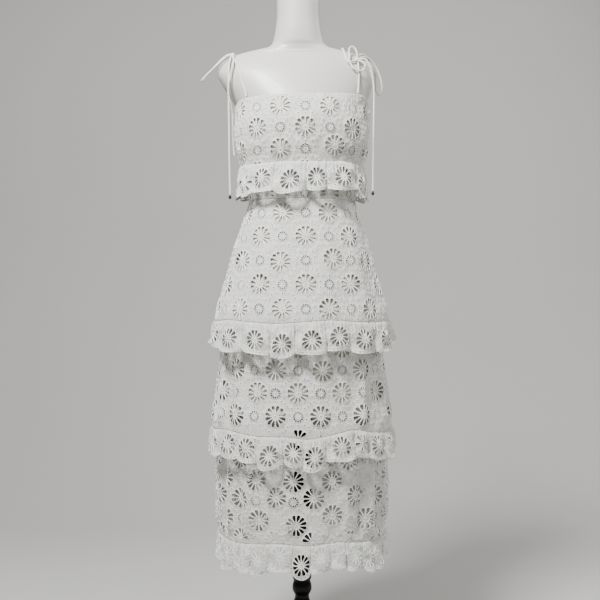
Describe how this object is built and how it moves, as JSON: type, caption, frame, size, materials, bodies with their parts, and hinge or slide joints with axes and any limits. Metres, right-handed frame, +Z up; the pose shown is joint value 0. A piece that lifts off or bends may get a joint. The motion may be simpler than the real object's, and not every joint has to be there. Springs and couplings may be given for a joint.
{
  "type": "tiered ruffle midi dress on a dress form",
  "caption": "Sleeveless midi dress of white cutwork flower lace with gathered scalloped ruffles and tied cord straps, on a limbless dress form with a turned black stand.",
  "frame": {"origin": "centre of the round base's underside, on the floor", "axes": "+Z up, the dress's front faces -Y, +X is to the right of a picture taken from the front"},
  "size_m": [0.4577, 0.4236, 1.603],
  "materials": {
    "lace": "white cotton cutwork with raised satin stitch, matt",
    "lining": "plain fine cotton, matt",
    "cord": "fine round white cord, matt",
    "form": "smooth painted white, satin",
    "black_wood": "turned wood, black lacquer",
    "bead": "small dark beads, satin"
  },
  "bodies": {
    "root": {"bodice_front": "lace", "bodice_back": "lace", "bust_ruffle_front": "lace", "bust_ruffle_back": "lace", "skirt_upper_front": "lace", "skirt_upper_back": "lace", "ruffle_upper_front": "lace", "ruffle_upper_back": "lace", "skirt_middle_front": "lace", "skirt_middle_back": "lace", "ruffle_middle_front": "lace", "ruffle_middle_back": "lace", "skirt_lower_front": "lace", "skirt_lower_back": "lace", "ruffle_hem_front": "lace", "ruffle_hem_back": "lace", "strap_front_left": "cord", "strap_back_left": "cord", "strap_front_right": "cord", "strap_link_right": "cord", "strap_back_right": "cord", "tie_left_long": "cord", "tie_left_short": "cord", "loop_left": "cord", "tie_right_long": "cord", "loop_right_up": "cord", "loop_right_ring": "cord", "loop_right_outer": "cord", "knot_left": "cord", "knot_right": "cord", "knot_right_small": "cord", "form_torso": "form", "stand_column": "black_wood", "stand_base": "black_wood", "bead_left": "bead", "bead_right": "bead", "lining_front": "lining", "lining_back": "lining"}
  },
  "joints": []
}
